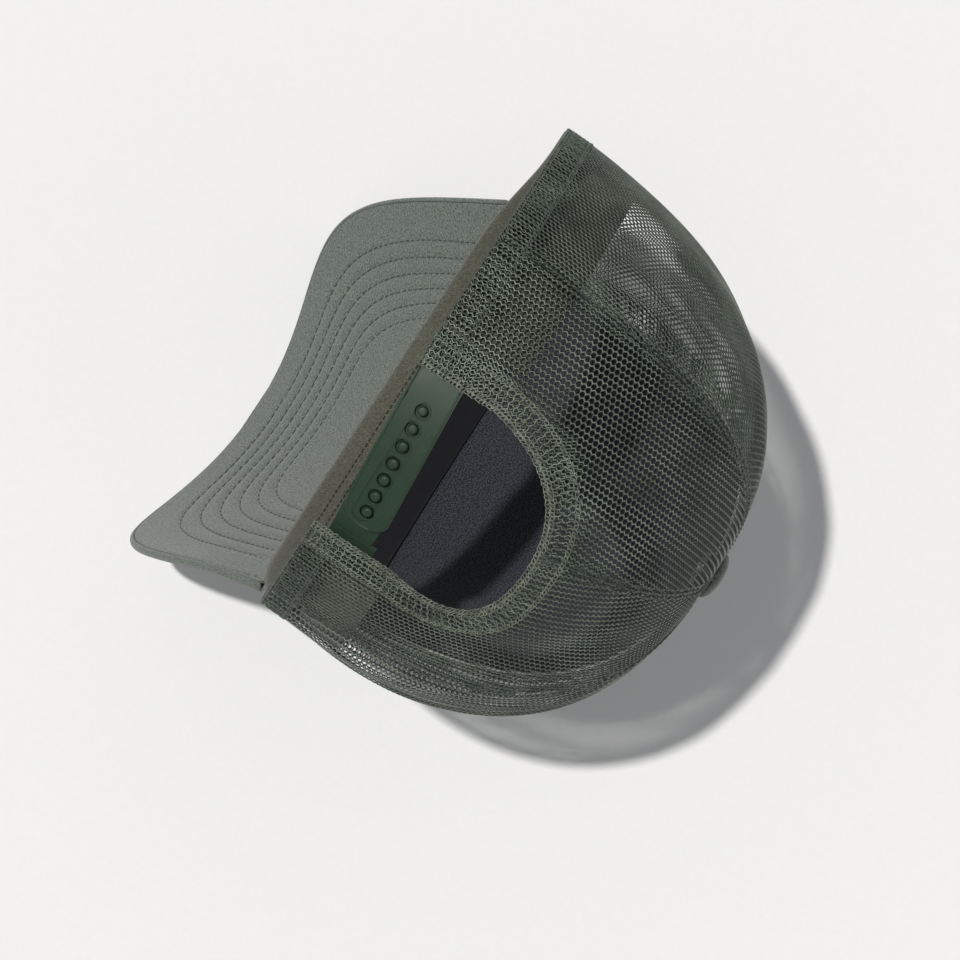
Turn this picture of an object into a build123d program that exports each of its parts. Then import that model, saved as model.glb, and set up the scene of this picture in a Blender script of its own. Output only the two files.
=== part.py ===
"""Trucker cap with a twill front, a knitted mesh back, a stitched visor and a plastic snap closure.

Millimetres. The origin is the centre of the head opening, +Z goes up to the top button, the visor points
along -Y, and +X is the wearer's left. The front of the cap is stiff and symmetrical about X = 0. The soft
mesh back has slumped towards the wearer's right, as a cap does when it is put down, so everything behind
the temples is turned about a vertical axis.
"""
from build123d import *
import os
from math import atan, atan2, cos, degrees, pi, radians, sin

os.makedirs("parts", exist_ok=True)

# Crown: the outside of the cloth
HALF_WIDTH = 93.0          # centre line to the side of the head opening
FRONT_DEPTH = 91.0         # centre of the head opening to its front
BACK_DEPTH = 98.0          # centre of the head opening to its back
CROWN_HEIGHT = 117.0       # head opening to the top of the crown
TOP_LEAN = 8.0             # the top of the crown lies this far behind the centre
PLAN_POWER = 2.1           # roundness of the plan: 2 is an ellipse
BACK_POWER = 2.5           # roundness of the back's profile
FRONT_POWER = 3.0          # the stiff front is a little squarer

# Slump: the back is turned sideways, a little more with every step back through the middle of the cap
SLUMP_TURN = 40.0          # degrees that the back centre is turned
SLUMP_FRONT = -75.0        # the bend starts here, in Y
SLUMP_BACK = 75.0          # and ends here
SLUMP_STEPS = 24

# Panels, by their turn round the crown in degrees: 0 is the front centre, +90 the wearer's left
FRONT_EDGE = 50.0
REAR_SEAM = 134.0
SEAM_GAP = 0.15            # left open each side of a seam
TURN_STEP = 2.5            # spacing of the points that surfaces pass through, in degrees
TOP_RISE = 86.0            # panels stop here, so that the button's rivet passes between their points

# Cloth layers: how far each one's outer and inner faces lie inside the crown's outside
MESH = (0.0, 0.8)
FOLD = (1.1, 1.8)          # hems and seam allowances, inside the mesh
STIFFENER = (1.0, 1.9)
LINING = (2.0, 2.5)
SWEATBAND = (2.8, 3.8)
HOLED_STRAP = (2.2, 3.5)
STUD_STRAP = (3.9, 5.1)

# Half-moon opening and closure, measured round the back from its centre
OPENING_HALF = 31.0
OPENING_STRAIGHT = 28.0    # height of the straight sides
OPENING_TOP = 62.0
OPENING_POWER = 2.5        # squareness of its arch
OPENING_LEAN = 8.0         # the arch's top has slumped this far towards the wearer's right
HEM_WIDTH = 13.0
SWEATBAND_HEIGHT = 30.0
STRAP_WIDTH = 16.0
STRAP_MIDDLE = 10.4
STRAP_TILT = 0.07          # the slumped back has let the closure's left end down by this share of its length
STRAP_REACH = 25.5         # free ends stop this far past the centre
TAB_LENGTH = 13.0
FLEX_GAP = 0.3
HOLE_PITCH = 6.4
HOLE_COUNT = 7
HOLE_RADIUS = 2.4
STUD_RADIUS = 1.6
STUD_PROUD = 0.9           # stud top above the holed strap
CHANNEL_DEPTH = 0.3
CHANNEL_HALF = 3.3

# Visor
VISOR_SLOPE = 33.0         # degrees below the head opening
VISOR_LENGTH = 70.5        # along its slope at the centre
VISOR_HALF = 80.0
VISOR_ROOT = -30.0         # Y of the widest point of its outline
VISOR_POWER = 5.0          # squareness of its outline
VISOR_DROOP = 4.8          # sides bent down more than the crown's edge asks for
BOARD_HALF = 1.0           # half the board's thickness
COVER = (1.1, 1.7)         # cover cloth, from the board's middle
EDGE_FOLD = 0.8            # cloth turned over the board's edge

# Top button
BUTTON_RADIUS = 8.5
BUTTON_HEIGHT = 3.8
BUTTON_EDGE = 0.9          # upright edge below the dome
RIVET_RADIUS = 1.9
WASHER_RADIUS = 7.0


def ramp(value):
    return min(max(value, 0.0), 1.0)


def slump_angle(y):
    """How far the cap is turned at y, in radians."""
    share = ramp((y - SLUMP_FRONT) / (SLUMP_BACK - SLUMP_FRONT))
    return radians(SLUMP_TURN) * share * share * (3 - 2 * share)


def slump(x, y):
    """Bend the plan: the front stays, and the centre line is followed back through the turning middle."""
    reach = ramp((y - SLUMP_FRONT) / (SLUMP_BACK - SLUMP_FRONT)) * (SLUMP_BACK - SLUMP_FRONT)
    step = reach / SLUMP_STEPS
    across = 0.0
    along = SLUMP_FRONT
    for i in range(SLUMP_STEPS):
        angle = slump_angle(SLUMP_FRONT + (i + 0.5) * step)
        across -= step * sin(angle)
        along += step * cos(angle)
    angle = slump_angle(y)
    beyond = y - SLUMP_FRONT - reach
    across += x * cos(angle) - beyond * sin(angle)
    along += x * sin(angle) + beyond * cos(angle)
    return across, along


def plan_radius(turn, layer):
    """Distance from the crown's centre line to its wall, in the direction turn."""
    side = HALF_WIDTH - layer
    depth = (FRONT_DEPTH if abs(turn) < 90 else BACK_DEPTH) - layer
    across = abs(sin(radians(turn))) / side
    along = abs(cos(radians(turn))) / depth
    return (across ** PLAN_POWER + along ** PLAN_POWER) ** (-1 / PLAN_POWER)


def profile_power(turn):
    return BACK_POWER + (FRONT_POWER - BACK_POWER) * (1 + cos(radians(turn))) / 2


def crown_point(turn, rise, layer):
    """Point of the crown at an angle round it and an angle up it, layer mm inside its outside."""
    power = profile_power(turn)
    out = cos(radians(rise))
    up = sin(radians(rise))
    reach = (out ** power + up ** power) ** (-1 / power)
    radius = plan_radius(turn, layer) * reach * out
    lean = TOP_LEAN * reach * up
    x, y = slump(radius * sin(radians(turn)), lean - radius * cos(radians(turn)))
    return Vector(x, y, (CROWN_HEIGHT - layer) * reach * up)


def rise_at(height, turn=180.0, layer=0.0):
    """The angle up the crown that reaches a height."""
    if height <= 0:
        return 0.0
    power = profile_power(turn)
    share = (CROWN_HEIGHT - layer) / height
    return degrees(atan((share ** power - 1) ** (-1 / power)))


def wall_point(turn, height, layer):
    return crown_point(turn, rise_at(height, turn, layer), layer)


def back_point(along, height, layer):
    """Point of the back wall, along mm from the back centre towards the wearer's left."""
    return wall_point(180 - degrees(along / BACK_DEPTH), height, layer)


def steps(first, last, count):
    return [first + (last - first) * i / (count - 1) for i in range(count)]


def layer_solid(place, firsts, seconds, layers):
    """Closed solid between two layers of a surface: place(first, second, layer) gives its points."""
    outer, inner = [
        Face.make_surface_from_array_of_points([[place(a, b, layer) for b in seconds] for a in firsts])
        for layer in layers
    ]
    sides = []
    for edge in outer.edges():
        middle = edge @ 0.5
        twin = min(inner.edges(), key=lambda other: (other @ 0.5 - middle).length)
        sides.append(Face.make_surface_from_curves(edge, twin))
    return Solid(Shell([outer, inner, *sides]))


def turn_count(turns):
    return max(5, round(abs(turns[1] - turns[0]) / TURN_STEP) + 1)


def crown_patch(turns, rises, layers, up=25):
    """Piece of the crown between two seams, SEAM_GAP mm short of each."""

    def place(share, rise, layer):
        gap = degrees(SEAM_GAP / (HALF_WIDTH * cos(radians(rise))))
        turn = turns[0] + gap + share * (turns[1] - turns[0] - 2 * gap)
        return crown_point(turn, rise, layer)

    return layer_solid(place, steps(0, 1, turn_count(turns)), steps(*rises, up), layers)


def wall_band(turns, heights, layers, up=4):
    return layer_solid(wall_point, steps(*turns, turn_count(turns)), steps(*heights, up), layers)


def strap_height(along):
    """Height of the closure's middle line, which is level again along the sewn ends."""
    return STRAP_MIDDLE - STRAP_TILT * max(-OPENING_HALF, min(along, OPENING_HALF))


def strap_point(along, height, layer):
    """Point of the closure, its height measured from the middle line."""
    return back_point(along, strap_height(along) + height, layer)


def strap_band(alongs, half, layers, across=9):
    return layer_solid(strap_point, steps(*alongs, across), steps(-half, half, 3), layers)


def strap_plane(along, layer):
    plane = back_plane(along, strap_height(along), layer)
    return plane.rotated((0, 0, -degrees(atan(STRAP_TILT))))


def back_plane(along, height, layer):
    """Plane on the back wall: X towards the wearer's left, Y up and its normal into the cap."""
    spot = back_point(along, height, layer)
    left = back_point(along + 0.5, height, layer) - back_point(along - 0.5, height, layer)
    return Plane(origin=spot, x_dir=left, z_dir=Vector(0, 0, 1).cross(left) * -1)


def opening_arch(share, grow):
    """Point of the opening's arch in the flat; share goes from 0 at its left foot over the top to 1."""
    across = cos(pi * share)
    up = sin(pi * share) ** (2 / OPENING_POWER)
    along = (OPENING_HALF + grow) * abs(across) ** (2 / OPENING_POWER) * (1 if across > 0 else -1)
    return along - OPENING_LEAN * up, OPENING_STRAIGHT + (OPENING_TOP + grow - OPENING_STRAIGHT) * up


def opening_prism(grow=0.0):
    """Half-moon arch, extruded through the back wall."""
    half = OPENING_HALF + grow
    below = -10.0
    arch = [opening_arch(0.5 - 0.5 * cos(pi * i / 20), grow) for i in range(21)]
    with BuildSketch(Plane.XY) as outline:
        with BuildLine():
            Polyline(arch[-1], (-half, below), (half, below), arch[0])
            Spline(*arch)
        make_face()
    return extrude(back_plane(0, 0, 0) * outline.sketch, amount=30, both=True)


def front_layer(layers):
    return crown_patch((-FRONT_EDGE, FRONT_EDGE), (0, TOP_RISE), layers)


def mesh_panel(side, first, last):
    """One mesh panel; side is +1 for the wearer's left."""
    return crown_patch(sorted((side * first, side * last)), (0, TOP_RISE), MESH)


def seam_allowance(turn, half_turn, first_rise):
    """Strip of turned cloth inside a seam, from the hem up to the top."""
    return crown_patch((turn - half_turn, turn + half_turn), (first_rise, TOP_RISE - 3), FOLD)


def bottom_hem(side):
    turns = sorted((side * (FRONT_EDGE + 1), side * 160.0))
    return wall_band(turns, (0, HEM_WIDTH), FOLD) - opening_prism(HEM_WIDTH + FLEX_GAP)


def opening_hem():
    band = wall_band((146, 214), (0, OPENING_TOP + HEM_WIDTH + 8), FOLD, 9)
    return band & (opening_prism(HEM_WIDTH) - opening_prism())


def sweatband():
    end = 180 - degrees((OPENING_HALF + TAB_LENGTH + 2) / BACK_DEPTH)
    return wall_band((-end, end), (0.4, SWEATBAND_HEIGHT), SWEATBAND)


def hole_places():
    return [HOLE_PITCH * (i - (HOLE_COUNT - 1) / 2) for i in range(HOLE_COUNT)]


def strap_bar(root, tip, layers):
    """Curved strap from its flex line to a free end rounded to a half circle with flattened tip."""
    bar = strap_band((root, tip), STRAP_WIDTH / 2, layers, 15)
    corner = STRAP_WIDTH * 0.48
    direction = 1 if tip > root else -1
    with BuildSketch(strap_plane(tip, layers[0])) as end:
        with Locations((-direction * (STRAP_WIDTH / 2 + 3), 0)):
            RectangleRounded(STRAP_WIDTH + 6, STRAP_WIDTH + 0.02, corner)
        with Locations((-direction * (STRAP_WIDTH / 2 + 40), 0)):
            Rectangle(80, STRAP_WIDTH + 4)
    return bar & extrude(end.sketch, amount=25, both=True)


def holed_strap():
    """Outer strap with seven holes in a shallow, round-ended channel."""
    outside = HOLED_STRAP[0]
    strap = strap_bar(OPENING_HALF, -STRAP_REACH, HOLED_STRAP)
    places = hole_places()
    reach = places[-1] + CHANNEL_HALF
    slot = strap_plane(0, outside) * SlotOverall(2 * reach, 2 * CHANNEL_HALF)
    cutter = strap_band((-reach - 1, reach + 1), CHANNEL_HALF + 1, (outside - 1, outside + CHANNEL_DEPTH))
    strap -= cutter & extrude(slot, amount=20, both=True)
    for along in places:
        drill = strap_plane(along, outside)
        strap -= extrude(drill * Circle(HOLE_RADIUS), amount=3, both=True)
    return strap


def stud_strap():
    """Inner strap with seven domed studs that stand in the holes."""
    strap = strap_bar(-OPENING_HALF, STRAP_REACH, STUD_STRAP)
    height = STUD_STRAP[0] - HOLED_STRAP[0] + STUD_PROUD
    for along in hole_places():
        foot = strap_plane(along, STUD_STRAP[0] + 0.4)
        stud = extrude(foot * Circle(STUD_RADIUS), amount=-height - 0.4)
        strap += fillet(stud.edges().group_by(lambda e: foot.to_local_coords(e.center()).Z)[0], 0.9)
    return strap


def strap_tab(side, layers):
    """Sewn end of a strap, behind the mesh."""
    first = side * (OPENING_HALF + FLEX_GAP)
    last = side * (OPENING_HALF + TAB_LENGTH)
    return strap_band(sorted((first, last)), STRAP_WIDTH / 2, layers, 5)


def visor_section(offset):
    """Cross-section of the visor, at right angles to its slope, offset mm from its middle."""
    slope = radians(VISOR_SLOPE)

    def bend(x):
        edge = FRONT_DEPTH * (1 - (1 - abs(x / HALF_WIDTH) ** PLAN_POWER) ** (1 / PLAN_POWER))
        return -edge * sin(slope) - VISOR_DROOP * (x / VISOR_HALF) ** 2 * cos(slope)

    points = []
    for x in steps(-VISOR_HALF - 4, VISOR_HALF + 4, 25):
        steep = atan2(bend(x + 0.1) - bend(x - 0.1), 0.2)
        points.append((x - offset * sin(steep), bend(x) + offset * cos(steep)))
    return points


def visor_sheet(low, high):
    """Arched sheet of the visor between two offsets from its middle, longer than the visor."""
    slope = radians(VISOR_SLOPE)
    run = Plane(origin=(0, -FRONT_DEPTH, 0), x_dir=(1, 0, 0), z_dir=(0, -cos(slope), -sin(slope)))
    top = visor_section(high)
    bottom = visor_section(low)
    with BuildSketch(run) as section:
        with BuildLine():
            Spline(*top)
            Line(top[-1], bottom[-1])
            Spline(*reversed(bottom))
            Line(bottom[0], top[0])
        make_face()
    return extrude(section.sketch, amount=VISOR_LENGTH + 90, both=True)


def visor_outline_point(share, inset):
    """Point of the visor's outline; share goes from 0 at its left root over the front to 1."""
    reach = VISOR_LENGTH * cos(radians(VISOR_SLOPE)) + FRONT_DEPTH + VISOR_ROOT - inset
    turn = pi * share
    across = abs(cos(turn)) ** (2 / VISOR_POWER) * (1 if cos(turn) > 0 else -1)
    return Vector((VISOR_HALF - inset) * across, VISOR_ROOT - reach * sin(turn) ** (2 / VISOR_POWER))


def visor_prism(inset=0.0):
    """Upright block with the visor's outline in front and the crown's edge behind."""
    shares = [0.5 - 0.5 * cos(pi * i / 24) for i in range(25)]
    front = [visor_outline_point(share, inset) for share in shares]
    with BuildSketch() as outline:
        with BuildLine():
            Spline(*front)
            Line(front[-1], front[0])
        make_face()
    return extrude(outline.sketch, amount=100, both=True) - crown_block()


def crown_block():
    """Everything inside the crown's outside, with room for a seam."""
    edge = [crown_point(turn, 0, -0.2) for turn in steps(-90, 90, 37)]
    with BuildSketch() as plan:
        with BuildLine():
            Spline(*edge)
            Polyline(edge[-1], (edge[-1].X, BACK_DEPTH), (edge[0].X, BACK_DEPTH), edge[0])
        make_face()
    return extrude(plan.sketch, amount=110, both=True)


def visor_board():
    return visor_sheet(-BOARD_HALF, BOARD_HALF) & visor_prism(EDGE_FOLD + 0.1)


def visor_cover(low, high):
    return visor_sheet(low, high) & visor_prism()


def visor_edge_fold():
    return visor_sheet(-BOARD_HALF, BOARD_HALF) & (visor_prism() - visor_prism(EDGE_FOLD))


def top_plane(layer):
    """Level plane at the top of the crown, layer mm inside its outside."""
    x, y = slump(0, TOP_LEAN)
    return Plane(origin=(x, y, CROWN_HEIGHT - layer), x_dir=(1, 0, 0), z_dir=(0, 0, 1))


def top_button():
    """Cloth-covered dome with a socket for the rivet."""
    low = (Align.CENTER, Align.CENTER, Align.MIN)
    swell = BUTTON_HEIGHT - BUTTON_EDGE
    ball = (BUTTON_RADIUS ** 2 + swell ** 2) / (2 * swell)
    dome = Cylinder(BUTTON_RADIUS, BUTTON_HEIGHT, align=low) & Pos(0, 0, BUTTON_HEIGHT - ball) * Sphere(ball)
    return top_plane(-0.3) * (dome - Cylinder(RIVET_RADIUS + 0.1, 1.6, align=low))


def button_rivet():
    """Stem from the button down through the panels' points, with a spread head under the washer."""
    head = top_plane(5.2)
    low = (Align.CENTER, Align.CENTER, Align.MIN)
    return head * (Cylinder(3.4, 0.8, align=low) + Cylinder(RIVET_RADIUS, 6.9, align=low))


def button_washer():
    low = (Align.CENTER, Align.CENTER, Align.MIN)
    ring = Cylinder(WASHER_RADIUS, 0.6, align=low) - Cylinder(RIVET_RADIUS + 0.1, 0.6, align=low)
    return top_plane(4.3) * ring


def rear_panel(side):
    return mesh_panel(side, REAR_SEAM, 180.0) - opening_prism()


def seams():
    """Seam allowances by node name; each starts above the hem it meets."""
    above_hem = rise_at(HEM_WIDTH + 0.5)
    above_opening = rise_at(OPENING_TOP + HEM_WIDTH + 2)
    return {
        "seam_centre_back": seam_allowance(180, 3.4, above_opening),
        "seam_rear_left": seam_allowance(REAR_SEAM, 2.6, above_hem),
        "seam_rear_right": seam_allowance(-REAR_SEAM, 2.6, above_hem),
        "seam_front_left": seam_allowance(FRONT_EDGE + 3.0, 2.4, above_hem),
        "seam_front_right": seam_allowance(-FRONT_EDGE - 3.0, 2.4, above_hem),
    }


def nodes():
    return {
        "front_panel": front_layer(MESH),
        "front_panel_stiffener": front_layer(STIFFENER),
        "front_panel_lining": front_layer(LINING),
        "mesh_side_left": mesh_panel(1, FRONT_EDGE, REAR_SEAM),
        "mesh_side_right": mesh_panel(-1, FRONT_EDGE, REAR_SEAM),
        "mesh_rear_left": rear_panel(1),
        "mesh_rear_right": rear_panel(-1),
        **seams(),
        "hem_left": bottom_hem(1),
        "hem_right": bottom_hem(-1),
        "opening_hem": opening_hem(),
        "sweatband": sweatband(),
        "visor_board": visor_board(),
        "visor_top_cover": visor_cover(*COVER),
        "visor_under_cover": visor_cover(-COVER[1], -COVER[0]),
        "visor_edge_fold": visor_edge_fold(),
        "holed_strap": holed_strap(),
        "holed_strap_tab": strap_tab(1, HOLED_STRAP),
        "stud_strap": stud_strap(),
        "stud_strap_tab": strap_tab(-1, STUD_STRAP),
        "top_button": top_button(),
        "button_rivet": button_rivet(),
        "button_washer": button_washer(),
    }


def main():
    for name, shape in nodes().items():
        export_step(Compound(children=list(shape.solids())), f"parts/{name}.step")
    for name, along, layer in (
        ("holed strap", OPENING_HALF, HOLED_STRAP[0]),
        ("stud strap", -OPENING_HALF, STUD_STRAP[1]),
    ):
        line = strap_point(along, 0, layer)
        print(f"{name} flexes about x {line.X:.2f} y {line.Y:.2f} z {line.Z:.2f}")


main()
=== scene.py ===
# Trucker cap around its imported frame. The cloth is built in millimetres from the crown's own curve, which is
# the one the frame was designed on, and turned to metres when a mesh is made. Angles round the crown are in
# degrees: 0 is the front centre, +90 the wearer's left and 180 the back centre. "rise" is the angle up the
# crown, and "depth" is how far a cloth face lies inside the crown's outside.
from math import atan, cos, degrees, pi, radians, sin

import bmesh
import bpy
import numpy as np
from mathutils import Matrix, Vector


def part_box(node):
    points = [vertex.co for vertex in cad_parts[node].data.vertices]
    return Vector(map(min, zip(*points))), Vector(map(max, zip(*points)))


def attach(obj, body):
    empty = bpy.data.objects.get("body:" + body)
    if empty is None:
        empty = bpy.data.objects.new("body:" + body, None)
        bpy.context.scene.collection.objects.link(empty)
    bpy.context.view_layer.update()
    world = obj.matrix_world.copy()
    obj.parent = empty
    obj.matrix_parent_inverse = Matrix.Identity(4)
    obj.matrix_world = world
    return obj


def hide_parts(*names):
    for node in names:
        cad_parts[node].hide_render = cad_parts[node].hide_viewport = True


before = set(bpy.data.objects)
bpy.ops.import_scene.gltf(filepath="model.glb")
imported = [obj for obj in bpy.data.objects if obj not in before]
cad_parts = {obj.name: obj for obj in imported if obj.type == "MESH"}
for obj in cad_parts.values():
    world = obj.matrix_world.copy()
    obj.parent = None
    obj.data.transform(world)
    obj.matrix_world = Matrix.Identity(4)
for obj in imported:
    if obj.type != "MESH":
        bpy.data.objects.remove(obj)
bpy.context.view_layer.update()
MM = 0.001


def box_mm(node):
    low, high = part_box(node)
    return np.array(low) / MM, np.array(high) / MM


# Driving dimensions, read from the frame where a node has them
FRONT_LOW, FRONT_HIGH = box_mm("front_panel")
SWEATBAND_TOP = box_mm("sweatband")[1][2]
FRONT_DEPTH = -FRONT_LOW[1]
CROWN_HEIGHT = round(FRONT_HIGH[2])

# The crown's curve
HALF_WIDTH = 93.0
BACK_DEPTH = 98.0
TOP_LEAN = 8.0
PLAN_POWER = 2.1
BACK_POWER = 2.5
FRONT_POWER = 3.0
SLUMP_TURN = 40.0
SLUMP_REACH = 75.0         # the sideways bend runs from this far in front of the middle to as far behind it
FRONT_EDGE = 50.0
REAR_SEAM = 134.0
SEAM_GAP = 0.15
TOP_RISE = 86.0
RISE_LENGTH = 1.7          # a degree of rise is about this long on the crown
WEAVE_RADIUS = 110.0       # radius that turns a rise into a length for the weave

# Cloth faces
MESH = (0.05, 0.55)
FOLD = (1.05, 1.75)
TWILL = (0.0, 0.8)
STIFFENER = (1.0, 1.9)
LINING = (2.0, 2.5)
SWEATBAND = (2.8, 3.8)

# Back opening
OPENING_HALF = 31.0
OPENING_STRAIGHT = 28.0
OPENING_TOP = 62.0
OPENING_POWER = 2.5
OPENING_LEAN = 8.0
HEM_WIDTH = 13.0
TAB_LENGTH = 13.0

# Closure
STRAP_WIDTH = 16.0
STRAP_MIDDLE = 10.4
STRAP_TILT = 0.07
STRAP_REACH = 25.5
STRAP_FACE = 2.2           # depth of the holed strap's outside
STRAP_CORNER = 0.48        # radius of the free end's corners, as a share of the strap's width
BEAD_INSET = 0.7           # the raised rim's middle lies this far inside the strap's edge
BEAD_RADIUS = 0.45
RING_REACH = 2.72          # radius of the ring round a hole
RING_RADIUS = 0.2
HOLE_PITCH = 6.4
HOLE_COUNT = 7

# Net
WALE = 2.0                 # from one rib of the net to the next
COURSE = 1.8               # from one hole to the next along a rib
HOLE = (0.80, 0.73)        # half width and half height of a hole
NET_SPREAD = 1.7           # share of a stretch's width that is laid out before the net is cut to its turns
BAR_SINK = (0.16, 0.12)    # cross threads lie this far inside the net's outer and inner faces

# Visor
VISOR_SLOPE = radians(33.0)
VISOR_HALF = 80.0
VISOR_ROOT = -30.0         # y at which the visor's outline starts
VISOR_LENGTH = 70.5
VISOR_POWER = 5.0
VISOR_DROOP = 4.8
VISOR_EASE = 30.0          # the visor's root is drawn up to the crown over this much of it
VISOR_CLEAR = 0.2          # and stops this far below the crown's edge
VISOR_FLARE = 3.0          # its root spreads this much to meet the bulging right side of the crown
FLARE_RUN = 45.0           # over this much of its depth
VISOR_COVER = 1.7          # outside of the cover cloth, from the board's middle
COVER_INSIDE = 1.15
BOARD_FACE = 0.95
ROOT_TURN = 72.0           # the visor's root lies within this turn each side of the front
ROOT_DEPTH = -0.2          # just outside the crown
VISOR_REACH = VISOR_LENGTH * cos(VISOR_SLOPE) + FRONT_DEPTH + VISOR_ROOT  # in plan, to its front
BAND_HANG = 4.6            # the sweatband hangs this far below the crown's edge in front
ROW_FIRST = 11.5           # first row of stitches from the edge
ROW_PITCH = 5.0
ROW_COUNT = 6

# Folds of the soft back, one a row: how far it stands out, its turn, half width in turn, lean with the rise,
# its rise and its half height in rise
FOLDS = (
    (3.0, 84, 26, 0.0, 0, 14),
    (-4.5, 84, 26, 0.0, 48, 20),
    (-6.5, -88, 27, 0.0, 0, 17),
    (2.2, -112, 9, -0.5, 22, 16),
    (-2.4, -131, 9, -0.5, 34, 15),
    (1.6, 112, 8, 0.3, 30, 18),
)

# Corners of a cell of the net, from its middle, in thirds of a wale and halves of a course
CELL = ((2, 0), (1, 1), (0, 1), (-1, 1), (-2, 0), (-1, -1), (0, -1), (1, -1))

# The button's section, from its top: shares of its radius and of its height
BUTTON = ((0.0, 1.0), (0.2, 0.985), (0.4, 0.93), (0.6, 0.83), (0.76, 0.70), (0.88, 0.52), (0.96, 0.32),
          (1.0, 0.12), (0.97, 0.02), (0.85, 0.0), (0.4, 0.0))

# Section of the cloth round the visor's edge: how far in from the edge, and above the board's middle
EDGE_SECTION = ((1.3, 1.72), (0.7, 1.66), (0.25, 1.3), (0.02, 0.6), (0.0, -0.2), (0.15, -0.9), (0.6, -1.4),
                (1.0, -1.3), (1.0, 1.1))


# ---- the crown's curve

slump_y = np.linspace(-SLUMP_REACH, SLUMP_REACH, 401)


def ease(share):
    """A share of 0 to 1, with a level start and end."""
    return share * share * (3 - 2 * share)


def slump_angle(y):
    return radians(SLUMP_TURN) * ease(np.clip((y + SLUMP_REACH) / (2 * SLUMP_REACH), 0, 1))


def followed(values):
    """Running sum of values along the centre line, one for each slump_y."""
    step = slump_y[1] - slump_y[0]
    return np.concatenate([[0], np.cumsum((values[1:] + values[:-1]) / 2 * step)])


centre_x = -followed(np.sin(slump_angle(slump_y)))
centre_y = -SLUMP_REACH + followed(np.cos(slump_angle(slump_y)))


def slump(x, y):
    angle = slump_angle(y)
    beyond = y - np.clip(y, -SLUMP_REACH, SLUMP_REACH)
    middle_x = np.interp(y, slump_y, centre_x) - beyond * np.sin(angle)
    middle_y = np.interp(y, slump_y, centre_y) + beyond * np.cos(angle)
    return middle_x + x * np.cos(angle), middle_y + x * np.sin(angle)


def plan_radius(turn, depth):
    deep = np.where(np.abs(turn) < 90, FRONT_DEPTH, BACK_DEPTH) - depth
    across = np.abs(np.sin(np.radians(turn))) / (HALF_WIDTH - depth)
    along = np.abs(np.cos(np.radians(turn))) / deep
    return (across ** PLAN_POWER + along ** PLAN_POWER) ** (-1 / PLAN_POWER)


def profile_power(turn):
    return BACK_POWER + (FRONT_POWER - BACK_POWER) * (1 + np.cos(np.radians(turn))) / 2


def crown(turn, rise, depth=0.0):
    """Points of the undented crown, as an array ending in x, y, z."""
    turn, rise, depth = np.broadcast_arrays(np.asarray(turn, float), np.asarray(rise, float), depth)
    power = profile_power(turn)
    out = np.cos(np.radians(rise))
    up = np.maximum(np.sin(np.radians(rise)), 0)
    reach = (out ** power + up ** power) ** (-1 / power)
    radius = plan_radius(turn, depth) * reach * out
    lean = TOP_LEAN * reach * up
    x, y = slump(radius * np.sin(np.radians(turn)), lean - radius * np.cos(np.radians(turn)))
    return np.stack([x, y, (CROWN_HEIGHT - depth) * reach * up], axis=-1)


def rise_at(height, turn, depth=0.0):
    """The angle up the crown that reaches a height."""
    power = profile_power(turn)
    share = np.maximum(np.asarray(height, float), 0.001) / (CROWN_HEIGHT - depth)
    return np.degrees(np.arctan((share ** -power - 1) ** (-1 / power)))


def unit(vectors):
    return vectors / np.linalg.norm(vectors, axis=-1, keepdims=True)


def path_lengths(path):
    """Length along a path up to each of its points."""
    return np.concatenate([[0], np.cumsum(np.linalg.norm(np.diff(path, axis=0), axis=1))])


def points_along(path, lengths, where):
    return np.stack([np.interp(where, lengths, path[:, k]) for k in range(3)], axis=-1)


def crown_normal(turn, rise):
    side = crown(turn + 0.5, rise) - crown(turn - 0.5, rise)
    up = crown(turn, np.minimum(rise + 0.5, 89)) - crown(turn, rise - 0.5)
    up[..., 2] = np.maximum(up[..., 2], 0.001)
    return unit(np.cross(side, up))


def bump(value, centre, width):
    return np.exp(-((value - centre) / width) ** 2)


def relief(turn, rise):
    """How far the soft cloth stands out of the crown's curve: the slack, dents and ripples of a worn back."""
    turn = (turn + 180) % 360 - 180
    soft = np.clip((np.abs(turn) - FRONT_EDGE - 4) / 25, 0, 1)
    ripple = 0.5 * np.sin(np.radians(turn * 11 + 40)) * bump(rise, 8, 14)
    ripple += 0.35 * np.sin(np.radians(turn * 23 + rise * 6)) * bump(rise, 30, 22)
    calm = 1 - bump(np.abs(np.abs(turn) - 180), 0, 34) * bump(rise, 0, 22)
    folds = sum(out * bump(turn - lean * rise, at_turn, wide) * bump(rise, at_rise, tall)
                for out, at_turn, wide, lean, at_rise, tall in FOLDS)
    return soft * (calm * ripple + folds)


def cloth(turn, rise, depth):
    """Points of the dented crown."""
    turn, rise, depth = np.broadcast_arrays(np.asarray(turn, float), np.asarray(rise, float), depth)
    return crown(turn, rise, depth) + relief(turn, rise)[..., None] * crown_normal(turn, rise)


# The back wall: a plane that touches its centre, with its X towards the wearer's left
back_centre = crown(180.0, 0.0)
back_left = unit(crown(179.7, 0.0) - crown(180.3, 0.0))
back_out = np.array([-back_left[1], back_left[0], 0.0])


def back_place(points):
    """How far points lie along the back wall and up it."""
    return (points - back_centre) @ back_left, points[..., 2]


def opening_share(points, grow=0.0):
    """Below 1 inside the half-moon opening, grown by some millimetres, and above 1 outside it."""
    along, height = back_place(points)
    behind = (points - back_centre) @ back_out > -60
    above = np.maximum(height - OPENING_STRAIGHT, 0) / (OPENING_TOP - OPENING_STRAIGHT + grow)
    across = np.abs(along + OPENING_LEAN * above) / (OPENING_HALF + grow)
    share = (across ** OPENING_POWER + above ** OPENING_POWER) ** (1 / OPENING_POWER)
    return np.where(behind, share, 9.0)


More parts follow.
